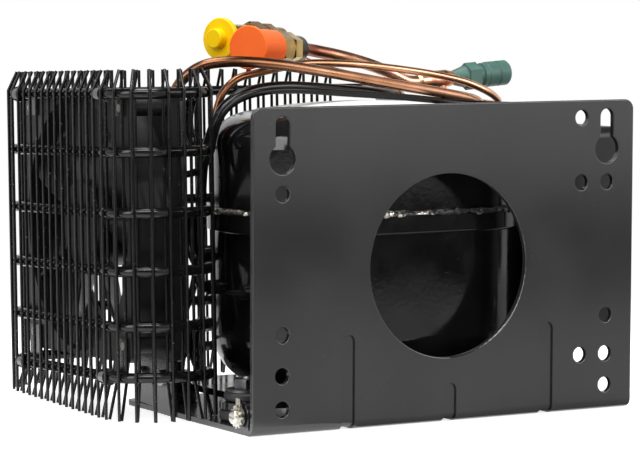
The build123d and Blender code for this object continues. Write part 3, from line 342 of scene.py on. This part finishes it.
weld_run = merged_copy("seam_weld", "weld_run")
apply_modifier(weld_run, "REMESH", mode="VOXEL", voxel_size=weld_voxel)
weld_lumps = bpy.data.textures.new("weld_lumps", "CLOUDS")
weld_lumps.noise_scale = weld_lump_size
weld_lumps.noise_depth = 2
apply_modifier(weld_run, "DISPLACE", texture=weld_lumps, texture_coords="LOCAL", strength=weld_lift,
               mid_level=weld_level)
bpy.ops.object.shade_smooth()
bead_metal = new_finish("weld_bead", 0.3)
specks_plus_highlight = bead_metal.node_tree.nodes.new("ShaderNodeMath")
specks_plus_highlight.operation = "ADD"
# Painted highlight: the bead is made bare bright metal towards the fan's end, where it catches the
# light.
highlight_toward_fan = ranged(bead_metal, along(bead_metal, "X"), highlight_full_at, highlight_gone_at, 0.08, -0.09)
bead_metal.node_tree.links.new(grain(bead_metal, 240), specks_plus_highlight.inputs[0])
bead_metal.node_tree.links.new(highlight_toward_fan, specks_plus_highlight.inputs[1])
# Bare steel specks, plus the painted highlight at the fan's end.
bare_specks_and_highlight = ranged(bead_metal, specks_plus_highlight.outputs[0], 0.52, 0.57)
colours(bead_metal, grain(bead_metal, 200), (0.4, 0.010, 0.010, 0.010), (0.6, 0.018, 0.018, 0.017))
tint(bead_metal, bare_specks_and_highlight, 0.62, 0.58, 0.52)
bead_metal.node_tree.links.new(bare_specks_and_highlight, shader_of(bead_metal).inputs["Metallic"])
relief(bead_metal, grain(bead_metal, 900), 0.0002)
weld_run.data.materials.clear()
weld_run.data.materials.append(bead_metal)
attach(weld_run, "unit")
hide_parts("seam_weld")

# Compressor label: a blank white film stuck on the crown, under the pipes. It is printed with
# nothing, and only the film's faint unevenness shows.
blank_label = new_finish("blank_label", 0.55)
colours(blank_label, grain(blank_label, 60), (0.3, 0.78, 0.78, 0.77), (0.7, 0.86, 0.86, 0.85))
relief(blank_label, grain(blank_label, 500), 0.00001)
dress(blank_label, "compressor_label")

# Feet: rubber grommets in the foot plates, on studs with sleeves, washers and nuts that were
# sprayed with the compressor.
foot_rubber = new_finish("foot_rubber", 0.62)
colours(foot_rubber, grain(foot_rubber, 150), (0.35, 0.012, 0.012, 0.012), (0.7, 0.03, 0.029, 0.028))
relief(foot_rubber, grain(foot_rubber, 900), 0.00008)
dress(foot_rubber, "rubber_grommets")

foot_steel = new_finish("foot_steel", 0.34, metallic=1.0)
colours(foot_steel, grain(foot_steel, 150), (0.35, 0.055, 0.055, 0.06), (0.68, 0.15, 0.15, 0.155))
spread_gloss(foot_steel, grain(foot_steel, 400), 0.25, 0.45)
dress(foot_steel, "spacer_sleeves", "mounting_studs", "foot_washers", "foot_nuts")

# Screws: zinc-plated steel, a little stained. The earth screw's head and its toothed washer
# stand on the bracket's side lug.
zinc_plate = new_finish("zinc_plate", 0.3, metallic=1.0)
colours(zinc_plate, grain(zinc_plate, 120), (0.35, 0.42, 0.39, 0.32), (0.68, 0.70, 0.69, 0.64))
spread_gloss(zinc_plate, grain(zinc_plate, 300), 0.22, 0.42)
relief(zinc_plate, grain(zinc_plate, 1200), 0.00002)
dress(zinc_plate, "earth_screw", "bracket_screws", "fan_screws", "cover_screws")

# Condenser: bent steel tube with spot-welded wires, dipped in gloss black. The discharge line
# was dipped with it.
dip_paint = new_finish("dip_paint", 0.13, level=0.34)
colours(dip_paint, grain(dip_paint, 90), (0.35, 0.003, 0.003, 0.003), (0.68, 0.007, 0.007, 0.007))
tint(dip_paint, ranged(dip_paint, grain(dip_paint, 700, 1), 0.72, 0.77), 0.10, 0.095, 0.085)
spread_gloss(dip_paint, grain(dip_paint, 200), 0.09, 0.2)
relief(dip_paint, grain(dip_paint, 700, 2), 0.00003)
dress(dip_paint, "condenser_tube", "condenser_wires_outer", "condenser_wires_inner", "discharge_line")

# Copper pipework: hand-bent soft tube, browned by handling, pink where the torch cleaned it at
# the tee, and sprayed black with the shell at the pipes' lower ends. On the pipes from the shell,
# painted shade darkens the left ends and a painted pink highlight lightens the parts to the right.
tee_point = (0.054, 0.050, 0.1472)
nut_point = (-0.0085, 0.0550, 0.1632)
spray_top = 0.131
spray_solid = 0.121


def copper_finish(name):
    """Drawn copper with slow drifts from brown to gold and fine marks along the surface."""
    material = new_finish(name, 0.28, metallic=1.0)
    colours(material, grain(material, 30, 2), (0.36, 0.34, 0.15, 0.07), (0.5, 0.52, 0.25, 0.135),
            (0.66, 0.68, 0.38, 0.235))
    spread_gloss(material, grain(material, 120), 0.24, 0.34)
    relief(material, grain(material, 500, 2), 0.00001)
    return material


def near(material, point, core, reach):
    """1 close to a point, fading to 0."""
    return ranged(material, away_from(material.node_tree, point, core, reach), 0, 1, 1, 0)


copper = copper_finish("copper_tube")
tint(copper, near(copper, tee_point, 0.012, 0.028), 0.88, 0.46, 0.30)
tint(copper, near(copper, nut_point, 0.008, 0.030), 0.24, 0.075, 0.045)
dress(copper, "filter_drier", "condenser_outlet", "suction_branch", "service_tee")

sprayed = copper_finish("sprayed_copper")
# Painted shade: darker brown towards the pipes' left ends.
tint(sprayed, ranged(sprayed, along(sprayed, "X"), -0.07, 0.0, 0.85, 0.0), 0.13, 0.055, 0.028)
# Painted highlight: lighter pink towards the pipes' right-hand parts.
tint(sprayed, ranged(sprayed, along(sprayed, "X"), 0.02, 0.09, 0.0, 0.8), 0.86, 0.50, 0.34)
bare = ranged(sprayed, along(sprayed, "Z"), spray_solid, spray_top)
tint(sprayed, ranged(sprayed, bare, 0, 1, 1, 0), 0.008, 0.008, 0.008)
sprayed.node_tree.links.new(bare, shader_of(sprayed).inputs["Metallic"])
dress(sprayed, "tube_stubs", "liquid_line", "suction_line")

# Braze rings: filler metal that ran round each joint in the copper and froze in a small
# concave collar. The couplings' tails and the tee's start and leg have one each.
braze_wall = 0.0002
tail_reach = 0.0508
braze = new_finish("braze_metal", 0.33, metallic=1.0)
colours(braze, grain(braze, 300), (0.35, 0.42, 0.24, 0.12), (0.65, 0.74, 0.56, 0.34))
relief(braze, grain(braze, 900), 0.00008)


def braze_ring(name, centre, axis, inner, outer, length):
    """A collar that tapers along an axis from a joint's mouth onto the tube."""
    bpy.ops.object.select_all(action="DESELECT")
    bpy.ops.mesh.primitive_cylinder_add(vertices=28, radius=outer, depth=length, end_fill_type="NOTHING",
                                        location=centre)
    ring = bpy.context.object
    ring.name = name
    ring.rotation_euler = Vector(axis).to_track_quat("Z", "Y").to_euler()
    bpy.ops.object.mode_set(mode="EDIT")
    bpy.ops.mesh.select_all(action="SELECT")
    bpy.ops.mesh.subdivide(number_cuts=3)
    bpy.ops.object.mode_set(mode="OBJECT")
    for vertex in ring.data.vertices:
        along = vertex.co.z / length + 0.5
        lump = 1 + 0.03 * math.sin(3 * math.atan2(vertex.co.y, vertex.co.x) + 40 * centre[0])
        target = (inner + (outer - inner) * (1 - along) ** 2) * lump
        spread = math.hypot(vertex.co.x, vertex.co.y)
        vertex.co.x *= target / spread
        vertex.co.y *= target / spread
    bpy.ops.object.transform_apply(location=True, rotation=True, scale=True)
    apply_modifier(ring, "SOLIDIFY", thickness=braze_wall, offset=-1)
    bpy.ops.object.shade_smooth()
    ring.data.materials.append(braze)
    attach(ring, "unit")


suction_way = Vector((math.cos(math.radians(30)), math.sin(math.radians(30)), -0.0384)).normalized()
liquid_way = Vector((math.cos(math.radians(22)), math.sin(math.radians(22)), -0.0349)).normalized()
suction_tail = Vector((-0.0522, 0.030, 0.165)) + tail_reach * suction_way
liquid_tail = Vector((-0.0515, 0.059, 0.1683)) + tail_reach * liquid_way
tee_way = Vector((1, 0, 0.0715))
braze_ring("braze_suction_tail", suction_tail, suction_way, 0.0031, 0.0040, 0.0022)
braze_ring("braze_liquid_tail", liquid_tail, liquid_way, 0.0019, 0.0031, 0.0020)
braze_ring("braze_tee_start", (0.05300, 0.05000, 0.14706), -tee_way, 0.0031, 0.0039, 0.0020)
braze_ring("braze_tee_leg", (0.06497, 0.05000, 0.13990), (0, 0, -1), 0.0026, 0.0034, 0.0020)

# Couplings: turned brass half couplings with swivel nuts, dulled by handling. The torch left the
# suction coupling's boss nearly black. The power terminals are plain turned brass.
boss_length = 0.0118
boss_fade = 0.001
turned_brass = new_finish("turned_brass", 0.24, metallic=1.0)
colours(turned_brass, grain(turned_brass, 90), (0.35, 0.28, 0.16, 0.04), (0.68, 0.56, 0.36, 0.11))
spread_gloss(turned_brass, grain(turned_brass, 300), 0.18, 0.32)
dress(turned_brass, "liquid_coupling", "liquid_nut", "power_terminals")

dull_brass = new_finish("dull_brass", 0.3, metallic=1.0)
colours(dull_brass, grain(dull_brass, 120), (0.35, 0.24, 0.145, 0.04), (0.68, 0.46, 0.30, 0.10))
spread_gloss(dull_brass, grain(dull_brass, 300), 0.22, 0.38)
dress(dull_brass, "suction_nut")

scorched_brass = new_finish("scorched_brass", 0.26, metallic=1.0)
colours(scorched_brass, grain(scorched_brass, 90), (0.35, 0.30, 0.19, 0.055), (0.68, 0.58, 0.40, 0.14))
place = scorched_brass.node_tree.nodes.new("ShaderNodeTexCoord")
reach = scorched_brass.node_tree.nodes.new("ShaderNodeVectorMath")
reach.operation = "DOT_PRODUCT"
reach.inputs[1].default_value = suction_way
scorched_brass.node_tree.links.new(place.outputs["Object"], reach.inputs[0])
boss_start = suction_tail.dot(suction_way) - boss_length
scorch = ranged(scorched_brass, reach.outputs["Value"], boss_start, boss_start + boss_fade)
tint(scorched_brass, scorch, 0.045, 0.036, 0.03)
spread_gloss(scorched_brass, grain(scorched_brass, 300), 0.2, 0.36)
dress(scorched_brass, "suction_coupling")

# Caps: moulded dust caps in three colours, each satin with faint mould marks. The service valve
# under the green cap is painted to match it.
orange_cap = new_finish("orange_cap", 0.42, level=0.2)
colours(orange_cap, grain(orange_cap, 70), (0.3, 0.97, 0.125, 0.008), (0.7, 1.0, 0.155, 0.014))
relief(orange_cap, grain(orange_cap, 500), 0.00002)
dress(orange_cap, "suction_cap")
yellow_cap = new_finish("yellow_cap", 0.4, level=0.15)
colours(yellow_cap, grain(yellow_cap, 70), (0.3, 0.92, 0.56, 0.0), (0.7, 1.0, 0.66, 0.0))
relief(yellow_cap, grain(yellow_cap, 500), 0.00002)
dress(yellow_cap, "liquid_cap")
green_cap = new_finish("green_cap", 0.5)
colours(green_cap, grain(green_cap, 90), (0.3, 0.042, 0.12, 0.096), (0.7, 0.070, 0.165, 0.135))
relief(green_cap, grain(green_cap, 600), 0.00003)
dress(green_cap, "service_cap", "service_valve")

# Fan and electronics case: glass-filled nylon mouldings, black right through, with a fine
# texture where the mould was etched.
fan_nylon = new_finish("fan_nylon", 0.3, level=0.34)
colours(fan_nylon, grain(fan_nylon, 60), (0.3, 0.006, 0.006, 0.007), (0.7, 0.012, 0.012, 0.013))
spread_gloss(fan_nylon, grain(fan_nylon, 150), 0.3, 0.42)
relief(fan_nylon, grain(fan_nylon, 1400, 2), 0.00002)
dress(fan_nylon, "fan_frame", "fan_rotor", "electronics_housing", "electronics_cover")

# Fan cable: a soft round cable from the fan's bracket, up the shell's end, over its crown
# beside the pipes and down into the electronics case.
lead_route = [(-0.10258, 0.01613, 0.11067), (-0.095, 0.016, 0.1086), (-0.0865, 0.0146, 0.1095),
              (-0.081, 0.0126, 0.117), (-0.0796, 0.0122, 0.127), (-0.0758, 0.0118, 0.1363),
              (-0.068, 0.011, 0.1424), (-0.056, 0.010, 0.1456), (-0.043, 0.0105, 0.1462),
              (-0.028, 0.012, 0.1454), (-0.0119, 0.015, 0.144), (0.008, 0.019, 0.1426),
              (0.026, 0.023, 0.1412), (0.0415, 0.026, 0.1397), (0.056, 0.028, 0.138),
              (0.072, 0.026, 0.1368), (0.086, 0.020, 0.1362), (0.0955, 0.011, 0.1366),
              (0.098, 0.005, 0.134), (0.098, 0.005, 0.125)]
lead_radius = 0.0016
lead_data = bpy.data.curves.new("fan_cable", "CURVE")
lead_data.dimensions = "3D"
lead_data.bevel_depth = lead_radius
lead_data.bevel_resolution = 5
lead_data.use_fill_caps = True
run = lead_data.splines.new("NURBS")
run.points.add(len(lead_route) - 1)
for point, spot in zip(run.points, lead_route):
    point.co = (*spot, 1)
run.order_u = 3
run.use_endpoint_u = True
run.resolution_u = 10
fan_cable = bpy.data.objects.new("fan_cable", lead_data)
scene.collection.objects.link(fan_cable)
cable_jacket = new_finish("cable_jacket", 0.2, level=0.2)
colours(cable_jacket, grain(cable_jacket, 80), (0.3, 0.005, 0.005, 0.005), (0.7, 0.010, 0.010, 0.010))
spread_gloss(cable_jacket, grain(cable_jacket, 300), 0.16, 0.26)
lead_data.materials.append(cable_jacket)
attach(fan_cable, "unit")
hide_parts("fan_lead")

# Inside the shell and the fan: machined and sintered steel, wound copper and the circuit board,
# all out of sight unless the unit is opened.
steel = new_finish("plain_steel", 0.35, metallic=1.0)
colours(steel, grain(steel, 90), (0.3, 0.30, 0.30, 0.31), (0.7, 0.48, 0.48, 0.48))
spread_gloss(steel, grain(steel, 300), 0.28, 0.42)
dress(steel, "hermetic_terminal", "motor_stator", "motor_rotor", "crankshaft", "crankcase", "piston",
      "connecting_rod", "wrist_pin", "cylinder_head", "stator_bolts", "suspension_springs", "fan_shaft",
      "fan_bearings", "fan_stator", "fan_magnet")
enamel_wire = new_finish("winding_wire", 0.3, metallic=1.0)
colours(enamel_wire, grain(enamel_wire, 300), (0.3, 0.45, 0.14, 0.05), (0.7, 0.65, 0.25, 0.10))
relief(enamel_wire, grain(enamel_wire, 600), 0.0001)
dress(enamel_wire, "motor_windings")
board = new_finish("board_lacquer", 0.4)
colours(board, grain(board, 120), (0.3, 0.02, 0.10, 0.04), (0.7, 0.03, 0.15, 0.06))
dress(board, "circuit_board")
